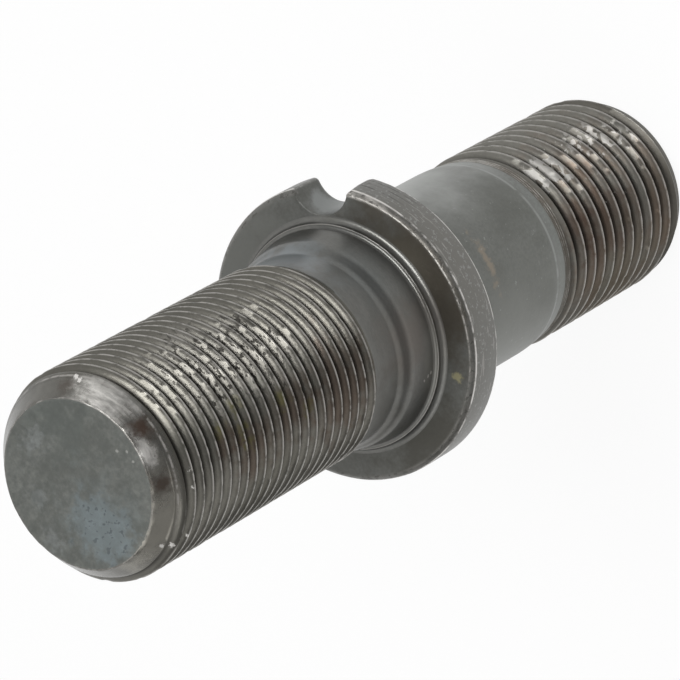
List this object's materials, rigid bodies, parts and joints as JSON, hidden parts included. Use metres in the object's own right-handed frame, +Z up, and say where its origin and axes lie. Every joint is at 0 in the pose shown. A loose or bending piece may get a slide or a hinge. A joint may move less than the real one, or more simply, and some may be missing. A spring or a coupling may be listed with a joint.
{
  "type": "wheel stud bolt",
  "caption": "Headless wheel bolt, turned as one stud: fine thread for a wheel nut, neck and tapered boss, round collar with a half-round notch, plain shank and coarse hub thread.",
  "frame": {"origin": "centre of the coarse end's flat face, on which the bolt stands", "axes": "+Z up along the bolt's axis towards the fine-threaded nut end, and the notch in the collar faces halfway between +X and +Y"},
  "size_m": [0.032, 0.032, 0.0985],
  "materials": {
    "dark_steel": "dark phosphated and oiled steel, satin, with worn bright edges"
  },
  "bodies": {
    "root": {"wheel_bolt": "dark_steel"}
  },
  "joints": []
}
